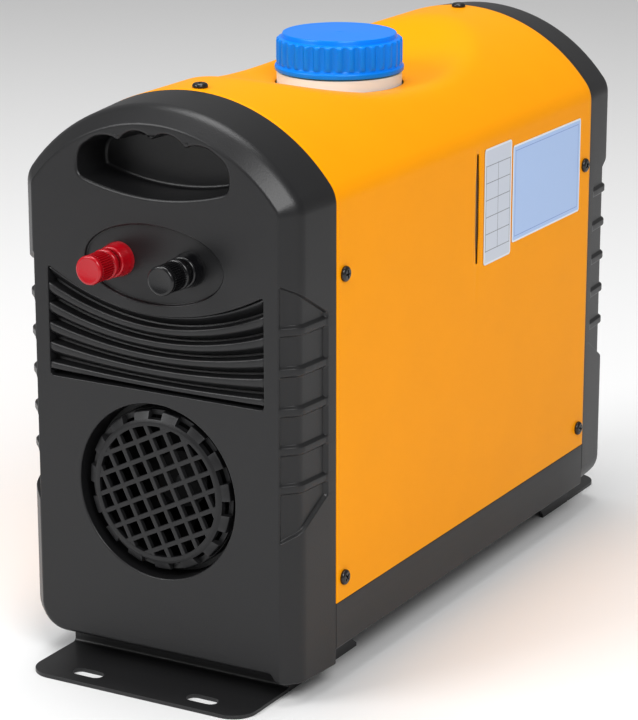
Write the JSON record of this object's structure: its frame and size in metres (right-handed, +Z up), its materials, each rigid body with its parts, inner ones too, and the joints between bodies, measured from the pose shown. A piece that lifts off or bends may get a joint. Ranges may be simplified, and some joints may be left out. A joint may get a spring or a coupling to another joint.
{
  "type": "diesel_air_heater",
  "caption": "Portable diesel air heater: yellow arched shell, black end covers, blue filler cap, round intake grille and swivelling outlet louvre.",
  "frame": {"origin": "on the floor under the middle of the heater", "axes": "+Z up, +Y from the intake end to the outlet end, +X to the side with the sight slot"},
  "size_m": [0.1698, 0.4296, 0.3085],
  "materials": {
    "yellow_paint": "gloss",
    "black_plastic": "fine texture",
    "black_paint": "satin",
    "black_steel": "satin",
    "blue_plastic": "satin",
    "tank_plastic": "satin",
    "red_plastic": "gloss",
    "gloss_black": "gloss",
    "plated_steel": "plated",
    "cast_aluminium": "cast",
    "aluminium_sheet": "rolled",
    "stainless": "brushed",
    "rubber": "matte",
    "grey_plastic": "moulded",
    "ceramic": "matte",
    "screen_glass": "gloss",
    "white_film": "film",
    "blue_film": "film",
    "fuel_line": "satin"
  },
  "bodies": {
    "body": {"shell": "yellow_paint", "cover_intake": "black_plastic", "cover_outlet": "black_plastic", "intake_grille": "black_plastic", "outlet_ring": "black_plastic", "tray": "black_paint", "foot_intake": "black_steel", "foot_outlet": "black_steel", "screw_intake_left_low": "black_steel", "screw_intake_left_high": "black_steel", "screw_intake_right_low": "black_steel", "screw_intake_right_high": "black_steel", "screw_intake_top": "black_steel", "screw_outlet_left_low": "black_steel", "screw_outlet_left_high": "black_steel", "screw_outlet_right_low": "black_steel", "screw_outlet_right_high": "black_steel", "screw_outlet_top": "black_steel", "foot_screw_intake_left": "plated_steel", "foot_screw_intake_right": "plated_steel", "foot_screw_outlet_left": "plated_steel", "foot_screw_outlet_right": "plated_steel", "fuel_tank": "tank_plastic", "tank_shelf": "aluminium_sheet", "red_terminal_stud": "plated_steel", "red_terminal_base": "red_plastic", "black_terminal_stud": "plated_steel", "black_terminal_base": "gloss_black", "core_lower": "grey_plastic", "core_upper": "grey_plastic", "heat_exchanger": "cast_aluminium", "burner": "stainless", "glow_plug": "ceramic", "blower_housing": "cast_aluminium", "fan_motor": "stainless", "control_unit": "aluminium_sheet", "exhaust_pipe": "stainless", "air_pipe": "stainless", "fuel_pump": "stainless", "pump_clamp": "rubber", "tank_line": "fuel_line", "burner_line": "fuel_line", "controller_panel": "gloss_black", "controller_screen": "screen_glass", "small_label": "white_film", "large_label": "blue_film"},
    "cap_lift": {"cap_liner": "rubber"},
    "cap": {"fuel_cap": "blue_plastic"},
    "red_lift": {"red_terminal_washer": "plated_steel"},
    "red_knob": {"red_terminal_knob": "red_plastic"},
    "black_lift": {"black_terminal_washer": "plated_steel"},
    "black_knob": {"black_terminal_knob": "gloss_black"},
    "rotor": {"fan_shaft": "plated_steel", "hot_air_fan": "grey_plastic", "combustion_wheel": "cast_aluminium"},
    "louvre": {"outlet_louvre": "black_plastic"},
    "button_1": {"button_1": "grey_plastic"},
    "button_2": {"button_2": "grey_plastic"},
    "button_3": {"button_3": "grey_plastic"},
    "button_4": {"button_4": "grey_plastic"}
  },
  "joints": [
    {"name": "cap_rise", "type": "slide", "parent": "body", "child": "cap_lift", "axis": [0, 0, 1], "range_m": [0, 0.018]},
    {"name": "cap_turn", "type": "hinge", "parent": "cap_lift", "child": "cap", "pos_m": [0, 0, 0.298], "axis": [0, 0, 1], "range_deg": [0, 1080]},
    {"name": "red_knob_out", "type": "slide", "parent": "body", "child": "red_lift", "axis": [0, -1, 0], "range_m": [-0.0015, 0.008]},
    {"name": "red_knob_turn", "type": "hinge", "parent": "red_lift", "child": "red_knob", "pos_m": [-0.0208, -0.206, 0.2205], "axis": [0, -1, 0], "range_deg": [-540, 2880]},
    {"name": "black_knob_out", "type": "slide", "parent": "body", "child": "black_lift", "axis": [0, -1, 0], "range_m": [-0.0015, 0.008]},
    {"name": "black_knob_turn", "type": "hinge", "parent": "black_lift", "child": "black_knob", "pos_m": [0.0208, -0.206, 0.2205], "axis": [0, -1, 0], "range_deg": [-540, 2880]},
    {"name": "fan_spin", "type": "hinge", "parent": "body", "child": "rotor", "pos_m": [0, -0.118, 0.1021], "axis": [0, 1, 0], "continuous": true},
    {"name": "louvre_swivel", "type": "hinge", "parent": "body", "child": "louvre", "pos_m": [0, 0.192, 0.1021], "axis": [0, 1, 0], "range_deg": [-90, 90]},
    {"name": "button_1_press", "type": "slide", "parent": "body", "child": "button_1", "axis": [0, -1, 0], "range_m": [0, 0.001], "stiffness_N_per_m": 300},
    {"name": "button_2_press", "type": "slide", "parent": "body", "child": "button_2", "axis": [0, -1, 0], "range_m": [0, 0.001], "stiffness_N_per_m": 300},
    {"name": "button_3_press", "type": "slide", "parent": "body", "child": "button_3", "axis": [0, -1, 0], "range_m": [0, 0.001], "stiffness_N_per_m": 300},
    {"name": "button_4_press", "type": "slide", "parent": "body", "child": "button_4", "axis": [0, -1, 0], "range_m": [0, 0.001], "stiffness_N_per_m": 300}
  ],
  "couplings": [
    {"joint": "cap_turn", "follows": "cap_rise", "rad_per_m": 1047.2},
    {"joint": "red_knob_turn", "follows": "red_knob_out", "rad_per_m": 6283.2},
    {"joint": "black_knob_turn", "follows": "black_knob_out", "rad_per_m": 6283.2}
  ]
}
